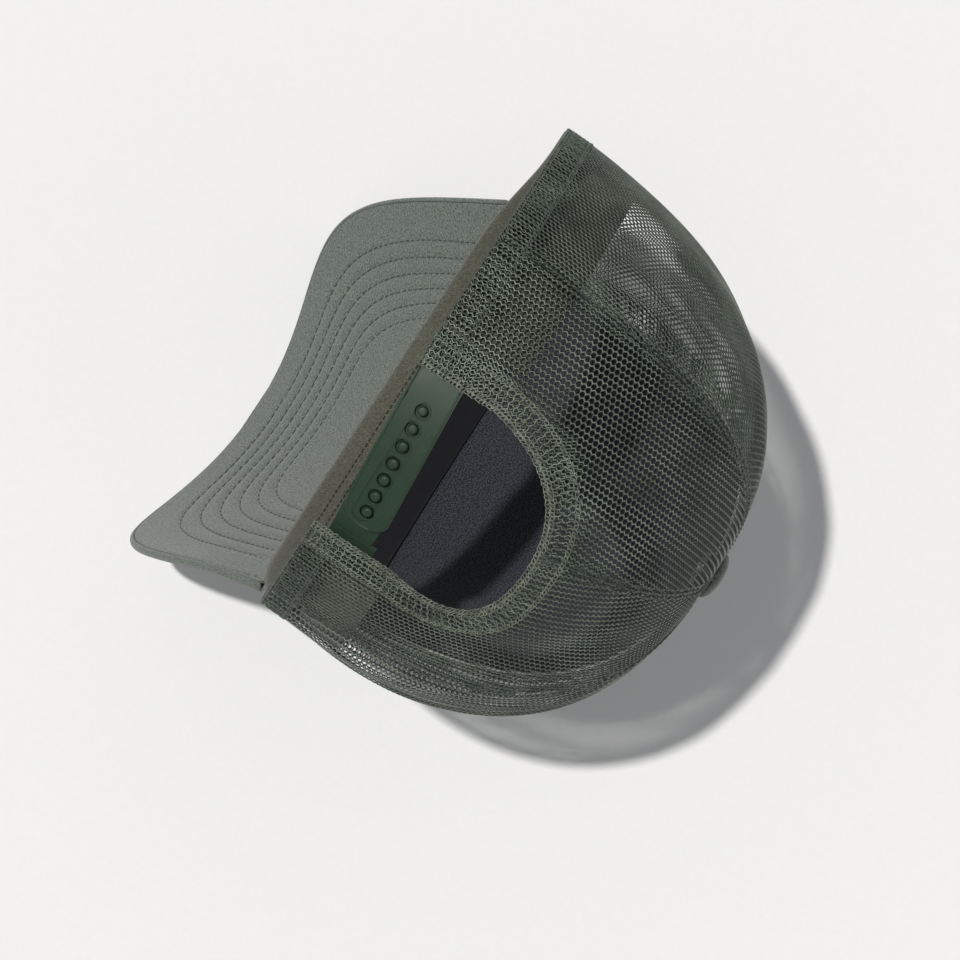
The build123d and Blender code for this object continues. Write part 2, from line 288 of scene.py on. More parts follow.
def pushed_out(points):
    """The points, with those inside the half-moon opening moved to its edge."""
    share = np.clip(opening_share(points), 0.01, 1)
    along, height = back_place(points)
    above = np.maximum(height - OPENING_STRAIGHT, 0)
    shift = (1 / share - 1)[..., None]
    return points + shift * (along[..., None] * back_left + above[..., None] * np.array([0, 0, 1.0]))


# ---- meshes

def added(name, data):
    """A new object in the scene."""
    thing = bpy.data.objects.new(name, data)
    bpy.context.scene.collection.objects.link(thing)
    return thing


def make_piece(name, points, faces, material, stands_for=(), body="cap", uv=None, thread=None):
    """One visible piece from points in millimetres, riding on a body and standing for its CAD nodes."""
    mesh = bpy.data.meshes.new(name)
    faces = [list(face) for face in faces]
    mesh.from_pydata((np.asarray(points, float).reshape(-1, 3) * MM).tolist(), [], faces)
    if uv is not None:
        corners = np.empty(len(mesh.loops), np.int32)
        mesh.loops.foreach_get("vertex_index", corners)
        layer = mesh.uv_layers.new(name="Cloth")
        layer.data.foreach_set("uv", np.asarray(uv, np.float32).reshape(-1, 2)[corners].ravel())
    # On the net, the "thread" attribute carries painted highlight on the crests and painted shade at the
    # holes.
    if thread is not None:
        values = mesh.attributes.new("thread", "FLOAT", "POINT").data
        values.foreach_set("value", np.asarray(thread, np.float32))
    mesh.validate()
    mesh.materials.append(material)
    mesh.shade_smooth()
    piece = added(name, mesh)
    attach(piece, body)
    if stands_for:
        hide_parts(*stands_for)
    return piece


def make_sheet(name, outer, inner, material, stands_for, uv=None, flip=False):
    """A closed sheet between two grids of points; uv is that of either grid."""
    points, faces = shell(outer, inner)
    if flip:
        faces = faces[:, ::-1]
    if uv is not None:
        uv = np.concatenate([uv, uv])
    return make_piece(name, points, faces, material, stands_for, uv=uv)


def numbered(rows, columns):
    """A grid of point numbers."""
    return np.arange(rows * columns).reshape(rows, columns)


def grid_quads(index):
    """Quads between neighbours in a grid of point numbers."""
    return np.stack([index[:-1, :-1], index[1:, :-1], index[1:, 1:], index[:-1, 1:]], axis=-1).reshape(-1, 4)


def ring_quads(rows):
    """Quads between rings of points, each ring a row of point numbers."""
    after = np.roll(rows, -1, 1)
    return np.stack([rows[:-1], after[:-1], after[1:], rows[1:]], axis=-1).reshape(-1, 4)


def shell(outer, inner):
    """Points and faces of a closed sheet between two grids of points."""
    index = numbered(*outer.shape[:2])
    count = index.size
    rim = np.concatenate([index[0, :], index[1:, -1], index[-1, -2::-1], index[-2:0:-1, 0]])
    after = np.roll(rim, -1)
    sides = np.stack([rim, after, after + count, rim + count], axis=-1)
    faces = np.concatenate([grid_quads(index), grid_quads(index + count)[:, ::-1], sides[:, ::-1]])
    return np.concatenate([outer.reshape(-1, 3), inner.reshape(-1, 3)]), faces


def tube(path, radius, sides=6, closed=False):
    """Points and faces of a tube round a path of points; radius is one number or one for each point."""
    path = np.asarray(path, float)
    ahead = np.roll(path, -1, 0) - np.roll(path, 1, 0)
    if not closed:
        ahead[0] = path[1] - path[0]
        ahead[-1] = path[-1] - path[-2]
    ahead = unit(ahead)
    guide = np.where(np.abs(ahead[:, 2:]) > 0.9, [[1.0, 0, 0]], [[0, 0, 1.0]])
    first = unit(np.cross(ahead, guide))
    second = np.cross(ahead, first)
    angles = np.arange(sides) * 2 * pi / sides
    ring = np.cos(angles)[None, :, None] * first[:, None] + np.sin(angles)[None, :, None] * second[:, None]
    points = path[:, None] + ring * np.broadcast_to(radius, len(path))[:, None, None]
    index = numbered(len(path), sides)
    rows = index if not closed else np.vstack([index, index[:1]])
    faces = ring_quads(rows).tolist()
    if not closed:
        faces += [index[0, ::-1].tolist(), index[-1].tolist()]
    return points.reshape(-1, 3), faces


def joined(parts):
    """Points and faces of several meshes as one."""
    points, faces, start = [], [], 0
    for part_points, part_faces in parts:
        points.append(part_points)
        faces += [[corner + start for corner in face] for face in part_faces]
        start += len(part_points)
    return np.concatenate(points), faces


def make_threads(name, parts, material, body="cap"):
    """One piece of many threads."""
    points, faces = joined(parts)
    make_piece(name, points, faces, material, body=body)


def nearest_normals(path, normals):
    """A function that gives each place the normal of the path's nearest point."""
    return lambda places: normals[np.argmin(((places[:, None] - path[None]) ** 2).sum(-1), axis=1)]


def spaced(path, pitch):
    """Points at an even pitch along a path, with the direction of each."""
    lengths = path_lengths(path)
    count = max(int(lengths[-1] / pitch), 1)
    at = (np.arange(count) + 0.5) * lengths[-1] / count
    ahead = points_along(path, lengths, at + 0.3) - points_along(path, lengths, at - 0.3)
    return points_along(path, lengths, at), unit(ahead)


def stitches(path, normals_at, length=2.5, pitch=3.1, radius=0.28, sink=0.05):
    """A row of sewn stitches lying on cloth: short threads that dive in at both ends."""
    places, ahead = spaced(path, pitch)
    out = normals_at(places)
    parts = []
    for place, direction, normal in zip(places, ahead, out, strict=True):
        side = np.cross(normal, direction)
        steps = np.linspace(-1, 1, 6)
        line = place + np.outer(steps * length / 2, direction)
        line += np.outer(radius * (0.9 - 1.7 * steps ** 4) - sink, normal)
        line += np.outer(0.08 * steps, side)
        parts.append(tube(line, radius * (1 - 0.45 * steps ** 4), 6))
    return joined(parts)


# ---- materials

class Cloth:
    """A node material with short calls for what the cap's cloths share."""

    def __init__(self, name, roughness, specular=0.5, sheen=0.0):
        self.material = bpy.data.materials.new(name)
        self.material.use_nodes = True
        self.tree = self.material.node_tree
        self.shader = self.tree.nodes["Principled BSDF"]
        self.shader.inputs["Roughness"].default_value = roughness
        self.shader.inputs["Specular IOR Level"].default_value = specular
        self.shader.inputs["Sheen Weight"].default_value = sheen
        self.shader.inputs["Sheen Roughness"].default_value = 0.5
        self.shader.inputs["Sheen Tint"].default_value = (1, 1, 1, 1)

    def node(self, kind, inputs=None, **settings):
        node = self.tree.nodes.new(kind)
        for key, value in settings.items():
            setattr(node, key, value)
        for key, value in (inputs or {}).items():
            if isinstance(value, bpy.types.NodeSocket):
                self.tree.links.new(value, node.inputs[key])
            else:
                node.inputs[key].default_value = value
        return node

    def place(self):
        """The cloth's own coordinates, in millimetres."""
        return self.node("ShaderNodeUVMap", uv_map="Cloth").outputs["UV"]

    def object_place(self, scale=1 / MM):
        source = self.node("ShaderNodeTexCoord").outputs["Object"]
        return self.node("ShaderNodeMapping", {"Vector": source, "Scale": (scale, scale, scale)}).outputs[0]

    def noise(self, place, scale, detail=3.0, roughness=0.55):
        inputs = {"Vector": place, "Scale": scale, "Detail": detail, "Roughness": roughness}
        return self.node("ShaderNodeTexNoise", inputs).outputs["Fac"]

    def math(self, kind, first, second=0.0):
        return self.node("ShaderNodeMath", {0: first, 1: second}, operation=kind).outputs[0]

    def mix(self, share, first, second):
        node = self.node("ShaderNodeMix", data_type="RGBA")
        for socket, value in ((node.inputs[0], share), (node.inputs[6], first), (node.inputs[7], second)):
            if isinstance(value, bpy.types.NodeSocket):
                self.tree.links.new(value, socket)
            else:
                socket.default_value = value
        return node.outputs[2]

    def spread(self, value, low, high, to_low=0.0, to_high=1.0):
        inputs = {"Value": value, "From Min": low, "From Max": high, "To Min": to_low, "To Max": to_high}
        return self.node("ShaderNodeMapRange", inputs).outputs[0]

    def colour(self, socket):
        self.tree.links.new(socket, self.shader.inputs["Base Color"])

    def uneven_colour(self, tone, brightness):
        self.colour(self.node("ShaderNodeHueSaturation", {"Color": tone, "Value": brightness}).outputs[0])

    def rough(self, socket):
        self.tree.links.new(socket, self.shader.inputs["Roughness"])

    def raised(self, height, distance, strength=1.0):
        inputs = {"Height": height, "Distance": distance * MM, "Strength": strength}
        bumped = self.node("ShaderNodeBump", inputs)
        self.tree.links.new(bumped.outputs[0], self.shader.inputs["Normal"])


def srgb(*values):
    """A colour given in 0 to 255 display values, as the linear values that shaders take."""
    linear = [((value / 255 + 0.055) / 1.055) ** 2.4 if value > 10 else value / 3295 for value in values]
    return (*linear, 1.0)


def shaded(colour, share):
    """A colour darkened to a share of its brightness."""
    return (*(share * value for value in colour[:3]), 1)


def twill_cloth(name, dark, light, pitch, roughness=0.85, sheen=0.25, slant=45.0, contrast=1.0):
    """Twill: slanted ribs of short threads, speckled where the threads cross, on an uneven dye."""
    kind = Cloth(name, roughness, 0.25, sheen)
    place = kind.place()
    slanted = kind.node("ShaderNodeMapping", {"Vector": place, "Rotation": (0, 0, radians(slant))})
    wobble = kind.noise(place, 0.35, 2.0)
    ribs = kind.node(
        "ShaderNodeTexWave",
        {"Vector": slanted.outputs[0], "Scale": 0.314 / pitch, "Distortion": 0.6, "Detail": 1.0},
        wave_type="BANDS",
    ).outputs["Fac"]
    speckle = kind.spread(kind.noise(place, 0.8 / pitch, 2.0, 0.7), 0.38, 0.62)
    weave = kind.math("ADD", kind.math("MULTIPLY", ribs, 0.35), kind.math("MULTIPLY", speckle, 0.65))
    tone = kind.mix(kind.spread(weave, 0.5 - 0.5 / contrast, 0.5 + 0.5 / contrast), dark, light)
    kind.uneven_colour(tone, kind.spread(wobble, 0.35, 0.65, 0.92, 1.06))
    kind.rough(kind.spread(speckle, 0.0, 1.0, roughness - 0.08, min(roughness + 0.1, 1)))
    kind.raised(weave, 0.12)
    return kind.material


def net_cloth(name, crest_colour_and_highlight, hole_colour_and_shade):
    """Knitted net: paler thread along the rib crests, brightened further with painted highlight, over darker
    thread with painted shade towards the holes.
    """
    kind = Cloth(name, 0.36, 0.6)
    place = kind.object_place()
    # The "thread" attribute is 1 on the crests and 0 at the holes' edges: mixing by it paints highlight on the
    # crests and shade into the holes.
    thread = kind.node("ShaderNodeAttribute", attribute_name="thread").outputs["Fac"]
    uneven = kind.noise(place, 0.06, 3.0)
    # Fine noise for roughness and bump, which also paints glints along the threads into the colour.
    fibre_and_glint = kind.noise(place, 2.6, 2.0, 0.7)
    ribs = kind.math("ADD", thread, kind.spread(fibre_and_glint, 0.3, 0.7, -0.25, 0.2))
    ribs = kind.math("ADD", ribs, kind.spread(uneven, 0.3, 0.7, -0.15, 0.15))
    tone = kind.mix(kind.spread(ribs, 0.55, 1.0), hole_colour_and_shade, crest_colour_and_highlight)
    kind.uneven_colour(tone, kind.spread(uneven, 0.3, 0.7, 0.9, 1.1))
    kind.rough(kind.spread(fibre_and_glint, 0.3, 0.7, 0.24, 0.52))
    kind.raised(fibre_and_glint, 0.08)
    return kind.material


def thread_material(name, colour, roughness=0.6):
    """Sewing thread: twisted plies."""
    kind = Cloth(name, roughness, 0.4, 0.2)
    place = kind.object_place()
    plies = kind.noise(place, 4.0, 2.0, 0.8)
    lengthwise = kind.math("ADD", plies, kind.spread(kind.noise(place, 0.35, 3.0), 0.35, 0.65, -0.2, 0.2))
    tone = kind.mix(kind.spread(lengthwise, 0.3, 0.7), shaded(colour, 0.35), colour)
    kind.colour(tone)
    kind.raised(plies, 0.06)
    return kind.material


def plastic_material(name, colour, worn):
    """Moulded plastic: a fine satin grain, faint flow marks and paler scuffs."""
    kind = Cloth(name, 0.5, 0.35)
    place = kind.object_place()
    flow = kind.noise(place, 0.12, 4.0)
    grain = kind.noise(place, 5.0, 2.0)
    scuff = kind.spread(kind.noise(place, 0.9, 6.0, 0.75), 0.58, 0.72)
    tone = kind.mix(kind.spread(flow, 0.3, 0.7), shaded(colour, 0.9), colour)
    kind.colour(kind.mix(kind.math("MULTIPLY", scuff, 0.35), tone, worn))
    kind.rough(kind.math("ADD", kind.spread(flow, 0.3, 0.7, 0.42, 0.56), kind.math("MULTIPLY", scuff, 0.15)))
    kind.raised(grain, 0.02)
    return kind.material


def metal_material(name, colour):
    """Stamped metal with fine scratches and dull patches."""
    kind = Cloth(name, 0.35, 0.5)
    kind.shader.inputs["Metallic"].default_value = 1.0
    place = kind.object_place()
    patches = kind.noise(place, 0.6, 4.0)
    kind.colour(kind.mix(kind.spread(patches, 0.3, 0.7), shaded(colour, 0.75), colour))
    kind.rough(kind.spread(patches, 0.3, 0.7, 0.25, 0.5))
    kind.raised(kind.noise(place, 6.0, 2.0), 0.02)
    return kind.material


visor_twill, front_twill = [twill_cloth(name, srgb(66, 74, 68), srgb(122, 130, 122), 0.55, contrast=1.6)
                            for name in ("VisorTwill", "FrontTwill")]
lining_cloth = twill_cloth("LiningCloth", srgb(2, 3, 6), srgb(68, 70, 79), 0.42, 0.8, 0.1, 30.0, 2.6)
sweatband_cloth = twill_cloth("SweatbandCloth", srgb(62, 63, 55), srgb(104, 104, 92), 0.5, 0.9, 0.2)
# Near-black cloth for the band over the sweatband's top edge: painted shade.
painted_shade_cloth = twill_cloth("PaintedShadeCloth", srgb(10, 11, 13), srgb(26, 27, 31), 0.5, 0.9, 0.05, 0.0)
stiffener_cloth = twill_cloth("StiffenerCloth", srgb(170, 170, 165), srgb(225, 225, 220), 1.4, 0.9, 0.1, 0.0)
# Net colours: pale crests with painted highlight, and dark thread with painted shade at the holes' edges.
mesh_net = net_cloth("MeshNet", srgb(132, 144, 126), srgb(32, 44, 36))
dark_thread = thread_material("DarkThread", srgb(70, 80, 70))
brown_thread = thread_material("BrownThread", srgb(36, 34, 28))
mesh_thread = thread_material("MeshThread", srgb(88, 102, 88))
pale_thread = thread_material("PaleThread", srgb(142, 152, 134), 0.4)
strap_plastic = plastic_material("StrapPlastic", srgb(40, 60, 44), srgb(68, 88, 72))
board_plastic = plastic_material("BoardPlastic", srgb(215, 215, 208), srgb(235, 235, 230))
button_metal = metal_material("ButtonMetal", srgb(190, 190, 188))


# ---- smooth cloth layers

def crown_shell(name, turns, heights_or_rises, depths, material, stands_for, by_height=False, step=1.6):
    """A smooth cloth layer of the crown, its coordinates in millimetres for the weave."""
    wide = abs(turns[1] - turns[0]) * HALF_WIDTH * pi / 180
    tall = abs(heights_or_rises[1] - heights_or_rises[0]) * RISE_LENGTH
    across = np.linspace(turns[0], turns[1], max(int(wide / step), 8))
    up = np.linspace(*heights_or_rises, max(int(tall / step), 8))
    turn, second = np.meshgrid(across, up, indexing="ij")
    rise = rise_at(second, turn) if by_height else second
    outer, inner = [cloth(turn, rise, depth) for depth in depths]
    upwards = second if by_height else np.radians(rise) * WEAVE_RADIUS
    uv = np.stack([np.radians(turn) * HALF_WIDTH, upwards], axis=-1)
    make_sheet(name, outer, inner, material, stands_for, uv)


def build_front():
    edge = FRONT_EDGE - 0.1
    above_rim = rise_at(0.4, 0.0)
    crown_shell("front_panel_twill", (-edge, edge), (0, TOP_RISE), TWILL, front_twill,
                ["front_panel"])
    crown_shell("front_panel_buckram", (-edge, edge), (above_rim, TOP_RISE), STIFFENER, stiffener_cloth,
                ["front_panel_stiffener"])
    crown_shell("front_panel_lining_cloth", (-edge, edge), (above_rim, TOP_RISE), LINING, lining_cloth,
                ["front_panel_lining"])


def crown_normals_near(turn_path, rise_path):
    """A function that gives the crown's normal at points near a path of known turns and rises."""
    return nearest_normals(cloth(turn_path, rise_path, 0.0), crown_normal(turn_path, rise_path))


def crown_row(turn_path, rise_path, depth, inside=False, **sizes):
    """Stitches along a line on the crown, on its outside or its inside."""
    turn_path, rise_path = np.broadcast_arrays(np.asarray(turn_path, float), np.asarray(rise_path, float))
    path = cloth(turn_path, rise_path, depth)
    near = crown_normals_near(turn_path, rise_path)
    sign = -1 if inside else 1
    return stitches(path, lambda places: sign * near(places), **sizes)


def sweatband_face(turns, section):
    """The band's points: its section, in depths and heights, at each turn. It hangs lower in front."""
    turns = turns[:, None]
    depth, height = np.array(section).T[:, None]
    wave = 0.25 * np.sin(np.radians(turns * 9)) * np.clip(height / SWEATBAND_TOP, 0, 1)
    points = cloth(turns, rise_at(np.maximum(height, 0), turns), depth + wave)
    front = ease(np.clip((78 - np.abs(turns)) / 30, 0, 1))
    hang = np.clip((depth - 1.3) / 1.2, 0, 1) * np.clip(1 - height / 6, 0, 1)
    points[..., 2] += np.minimum(height, 0) - BAND_HANG * front * hang
    return points


def build_sweatband():
    """Band of cloth inside the rim, turned out under the layers at its lower edge and stitched there."""
    end = 180 - degrees((OPENING_HALF + TAB_LENGTH + 2) / BACK_DEPTH)
    turns = np.linspace(-end, end, 420)
    heights = np.linspace(1.6, SWEATBAND_TOP, 24)
    outer = [(1.3, -0.05), (1.8, -0.05), (2.5, 0.1), (2.8, 0.6), *((SWEATBAND[0], up) for up in heights)]
    inner = [(1.3, -0.6), (2.0, -0.65), (3.1, -0.4), (3.7, 0.4), *((SWEATBAND[1], up) for up in heights)]
    across = np.radians(turns)[:, None] * HALF_WIDTH
    uv = np.stack(np.broadcast_arrays(across, path_lengths(inner)[None, :]), axis=-1)
    make_sheet("sweatband_cloth", sweatband_face(turns, outer), sweatband_face(turns, inner),
               sweatband_cloth, ["sweatband"], uv)
    row_turns = np.linspace(-end + 1, end - 1, 400)
    rows = [crown_row(row_turns, rise_at(height, row_turns), SWEATBAND[1] + 0.1, inside=True, length=1.9,
                      pitch=2.4)
            for height in (1.2, 4.4)]
    make_threads("sweatband_stitches", rows, brown_thread)
    # A near-black band along the sweatband's top edge, all the way round: painted shade, a dark sheet standing
    # in for the shadow seen above the strap.
    crown_shell("sweatband_painted_shade", (-end, end), (SWEATBAND_TOP - 9.5, SWEATBAND_TOP + 0.4),
                (SWEATBAND[1] - 0.2, SWEATBAND[1] + 0.5), painted_shade_cloth, [], by_height=True)


# ---- net

def arc_table(turn):
    """Length up the crown along a meridian, for rises from the bottom to the top."""
    rises = np.linspace(0, TOP_RISE, 200)
    path = crown(np.full_like(rises, turn), rises)
    return rises, path_lengths(path)


def net_placer(middle, shift, skew):
    """A function that gives the turn, the rise and the length up the crown of places on a net, which are
    counted in thirds of a wale from its middle line and in halves of a course."""
    rises, lengths = arc_table(middle)

    def place(first, second):
        sideways = first * WALE / 3 + shift[0]
        upwards = second * COURSE / 2 + shift[1]
        sideways, upwards = sideways + skew * upwards, upwards - skew * sideways
        rise = np.interp(upwards, lengths, rises)
        near = crown(np.full_like(rise, middle + 0.5), rise) - crown(np.full_like(rise, middle - 0.5), rise)
        turn = middle + sideways / np.maximum(np.linalg.norm(near, axis=-1), 0.02)
        return turn, rise, upwards

    return place


def net_cells(turns, tall, place, keep):
    """Column and level of each cell between the turns and under the top, and where keep allows."""
    wide = (turns[1] - turns[0]) / 2 * pi / 180 * HALF_WIDTH * NET_SPREAD
    columns = np.arange(-int(wide / WALE) - 2, int(wide / WALE) + 3)
    rows = np.arange(-2, int(tall / COURSE) + 3)
    column, row = [grid.ravel() for grid in np.meshgrid(columns, rows, indexing="ij")]
    level = 2 * row + column % 2
    turn, rise, upwards = place(3 * column, level)
    inside = (turn > turns[0]) & (turn < turns[1]) & (upwards > -0.2) & (upwards < tall)
    if keep is not None:
        inside &= keep(crown(turn, rise))
    return column[inside], level[inside]


def net_points(spots, turns, room, depth):
    """Points of the net at some depth, kept clear of the seams it ends at and out of the half-moon."""
    turn, rise, _ = spots
    room = room * degrees(SEAM_GAP / HALF_WIDTH)
    return pushed_out(cloth(np.clip(turn, turns[0] + room, turns[1] - room), rise, depth))


def net_faces(index, count):
    """Quads from the corners of each cell, in front and behind, to the ring of its hole."""
    rings = 2 * count + numbered(len(index), len(CELL))
    after = np.roll(np.arange(len(CELL)), -1)
    front = np.stack([index, index[:, after], rings[:, after], rings], axis=-1)
    back = np.stack([index + count, rings, rings[:, after], index[:, after] + count], axis=-1)
    return np.concatenate([front.reshape(-1, 4), back.reshape(-1, 4)])


def net_piece(name, turns, depths, stands_for, keep=None, shift=(0.0, 0.0), skew=0.0, top=None):
    """Knitted net over a stretch of the crown. Its ribs run up, parallel to the stretch's middle line, and
    its holes lie in rows like bricks. keep says which points of the crown the net covers."""
    middle = (turns[0] + turns[1]) / 2
    tall = arc_table(middle)[1][-1] if top is None else top
    place = net_placer(middle, shift, skew)
    column, level = net_cells(turns, tall, place, keep)
    keys = np.stack([np.stack([3 * column + a, level + b], axis=-1) for a, b in CELL], axis=1)
    corners, index, counts = np.unique(keys.reshape(-1, 2), axis=0, return_inverse=True, return_counts=True)
    is_bar = corners[:, 0] % 3 == 0
    edge = counts < np.where(is_bar, 2, 3)
    low, high = depths
    half = (low + high) / 2
    front_depth = np.where(edge, half, np.where(is_bar, low + BAR_SINK[0], low))
    back_depth = np.where(edge, half, np.where(is_bar, high - BAR_SINK[1], high))
    spots = place(corners[:, 0], corners[:, 1])
    front, back = [net_points(spots, turns, 1, depth) for depth in (front_depth, back_depth)]

    angles = np.arctan2([b * COURSE / 2 for a, b in CELL], [a * WALE / 3 for a, b in CELL])
    across = 3 * column[:, None] + HOLE[0] * np.cos(angles) * 3 / WALE
    up = level[:, None] + HOLE[1] * np.sin(angles) * 2 / COURSE
    ring = net_points(place(across, up), turns, 2, half)
    points = np.concatenate([front, back, ring.reshape(-1, 3)])
    # Values the net's colour is mixed by: 1 on the rib crests, 0.35 on the cross bars and 0 round the holes,
    # which paints highlight on the crests and shade into the holes.
    crest_and_highlight = np.where(is_bar, 0.35, 1.0)
    thread = np.concatenate([crest_and_highlight, crest_and_highlight, np.zeros(ring.size // 3)])
    faces = net_faces(index.reshape(-1, len(CELL)), len(front))
    weld(make_piece(name, points, faces, mesh_net, stands_for, thread=thread))


def weld(piece, distance=0.002):
    """Join points that lie on each other, which also removes faces that clipping has flattened."""
    work = bmesh.new()
    work.from_mesh(piece.data)
    bmesh.ops.remove_doubles(work, verts=work.verts, dist=distance * MM)
    bmesh.ops.dissolve_degenerate(work, edges=work.edges, dist=distance * MM)
    work.to_mesh(piece.data)
    work.free()
    piece.data.shade_smooth()


def outside_opening(points):
    return opening_share(points) > 1.0


def in_opening_hem(points):
    return (opening_share(points) > 1.0) & (opening_share(points, HEM_WIDTH) < 1.0)


def in_bottom_hem(points):
    return opening_share(points, HEM_WIDTH) > 1.0


def above_hems(first_height):
    return lambda points: (points[..., 2] > first_height) & in_bottom_hem(points)


def opening_line(grow=0.0, foot=0.0):
    """Turns and rises along the half-moon's edge, grown by some millimetres, from its left foot round to its
    right one."""
    share = np.linspace(0, 1, 160)
    across = np.cos(pi * share)
    up = np.sin(pi * share) ** (2 / OPENING_POWER)
    along = (OPENING_HALF + grow) * np.abs(across) ** (2 / OPENING_POWER) * np.sign(across)
    along = along - OPENING_LEAN * up
    height = OPENING_STRAIGHT + (OPENING_TOP + grow - OPENING_STRAIGHT) * up
    climb = np.linspace(foot, OPENING_STRAIGHT, 30)[:-1]
    along = np.concatenate([climb * 0 + along[0], along, climb * 0 + along[-1]])
    height = np.concatenate([climb, height, climb[::-1]])
    turns = np.linspace(240, 120, 481)
    path = []
    for sideways, level in zip(along, height, strict=True):
        reach = back_place(crown(turns, rise_at(level, turns)))[0]
        path.append(np.interp(sideways, reach, turns))
    turns = np.array(path)
    return turns, rise_at(height, turns)


def chain_row(turn, rise, depth, pitch=1.35, across=0.6, radius=0.13):
    """A row of small knitted loops lying on the net, each one leaning over the next."""
    path = cloth(turn, rise, depth)
    places, ahead = spaced(path, pitch)
    out = crown_normals_near(turn, rise)(places)
    parts = []
    angles = np.linspace(0, 2 * pi, 11)[:-1]
    for place, direction, normal, lean in zip(places, ahead, out, loop_leans(len(places)), strict=True):
        side = np.cross(normal, direction)
        loop = (place + np.outer(np.cos(angles) * pitch * 0.66, direction)
                + np.outer(np.sin(angles) * across + np.cos(angles) * lean, side)
                + np.outer(0.16 * np.cos(angles), normal))
        parts.append(tube(loop, radius, 5, closed=True))
    return parts


def loop_leans(count):
    return 0.3 * np.sin(np.arange(count) * 2.4) + 0.25


def wavy_threads(line, other, pitch=2.2, radius=0.14, sway=0.3):
    """Threads from one line on the net to another, swaying from side to side as knitting makes them."""
    first = cloth(*line, MESH[0] - 0.05)
    second = cloth(*other, MESH[0] - 0.05)
    lengths = path_lengths(first)
    at = np.arange(pitch / 2, lengths[-1], pitch)
    parts = []
    ends = [points_along(edge, lengths, at) for edge in (first, second)]
    steps = np.linspace(0, 1, 11)
    normals = crown_normals_near(*line)(ends[0])
    for start, end, normal in zip(*ends, normals, strict=True):
        side = unit(np.cross(end - start, normal))
        thread = start + np.outer(steps, end - start) + np.outer(sway * np.sin(steps * 4.5 * pi), side)
        thread += np.outer(0.1 * np.cos(steps * 9 * pi), normal)
        parts.append(tube(thread, radius, 5))
    return parts


def build_edges():
    """The folded, double edges of the net: small loops over each edge and threads across the fold."""
    edge, first, second = [opening_line(grow) for grow in (0.4, 1.7, 8.6)]
    parts = chain_row(*edge, 0.2) + chain_row(*first, MESH[0]) + chain_row(*second, MESH[0])
    parts += wavy_threads(opening_line(2.5), opening_line(8.2))
    make_threads("opening_edge_threads", parts, pale_thread)
    foot = 180 - degrees((OPENING_HALF + 0.3) / BACK_DEPTH)
    for side, word in ((1, "left"), (-1, "right")):
        turns = side * np.linspace(FRONT_EDGE + 0.5, foot, 200)
        parts = chain_row(turns, rise_at(0.45, turns), 0.2) + chain_row(turns, rise_at(8.6, turns), MESH[0])
        parts += wavy_threads((turns, rise_at(1.6, turns)), (turns, rise_at(8.0, turns)), pitch=2.6)
        make_threads(f"rim_{word}_threads", parts, mesh_thread)


def seam_rows(turn, low, high):
    """Rows of stitches along a panel seam and each side of it."""
    rises = np.linspace(low, high, 220)
    rows = []
    for aside in (-1.9, 0.0, 1.9):
        around = np.linalg.norm(crown(turn + 0.5, rises) - crown(turn - 0.5, rises), axis=-1)
        turns = turn + aside / np.maximum(around, 0.3)
        rows.append(crown_row(turns, rises, MESH[0] - 0.02, length=1.9, pitch=2.5, radius=0.2))
    return rows


def build_seams():
    seams = {"front_left": FRONT_EDGE, "front_right": -FRONT_EDGE, "rear_left": REAR_SEAM,
             "rear_right": -REAR_SEAM, "centre_back": 180.0}
    for word, turn in seams.items():
        low = rise_at(OPENING_TOP + 1.5, 180.0) if word == "centre_back" else rise_at(1.0, turn)
        make_threads(f"seam_{word}_thread", seam_rows(turn, low, TOP_RISE - 2), mesh_thread)


def build_net():
    for side, word in ((1, "left"), (-1, "right")):
        side_turns = sorted((side * FRONT_EDGE, side * REAR_SEAM))
        rear_turns = sorted((side * REAR_SEAM, side * 180.0))
        hem_turns = sorted((side * (FRONT_EDGE + 1), side * 160.0))
        net_piece(f"mesh_side_{word}_net", side_turns, MESH, [f"mesh_side_{word}"])
        net_piece(f"mesh_rear_{word}_net", rear_turns, MESH, [f"mesh_rear_{word}"], outside_opening)
        net_piece(f"hem_{word}_net", hem_turns, FOLD, [f"hem_{word}"], in_bottom_hem,
                  shift=(0.9, 0.6), skew=0.05 * side, top=HEM_WIDTH)
        for seam, turn, half in (("rear", REAR_SEAM, 2.6), ("front", FRONT_EDGE + 3, 2.4)):
            net_piece(f"seam_{seam}_{word}_net", (side * turn - half, side * turn + half), FOLD,
                      [f"seam_{seam}_{word}"], above_hems(HEM_WIDTH), shift=(0.5, 0.4), skew=0.08)
    net_piece("seam_centre_back_net", (176.6, 183.4), FOLD, ["seam_centre_back"],
              above_hems(OPENING_TOP), shift=(0.5, 0.4), skew=-0.08)
    net_piece("opening_hem_net", (146, 214), FOLD, ["opening_hem"], in_opening_hem,
              shift=(0.8, 0.5), skew=0.06, top=OPENING_TOP + HEM_WIDTH + 12)


# ---- visor

def visor_bend(x):
    """Height of the visor's arch at x, at right angles to its slope."""
    edge = FRONT_DEPTH * (1 - (1 - np.abs(x / HALF_WIDTH) ** PLAN_POWER) ** (1 / PLAN_POWER))
    return -edge * sin(VISOR_SLOPE) - VISOR_DROOP * (x / VISOR_HALF) ** 2 * cos(VISOR_SLOPE)


def visor_level(x, y):
    """Height of the board's middle at a place in plan, as the board is moulded."""
    height = visor_bend(x)
    run = (-FRONT_DEPTH - height * sin(VISOR_SLOPE) - y) / cos(VISOR_SLOPE)
    return height * cos(VISOR_SLOPE) - run * sin(VISOR_SLOPE)


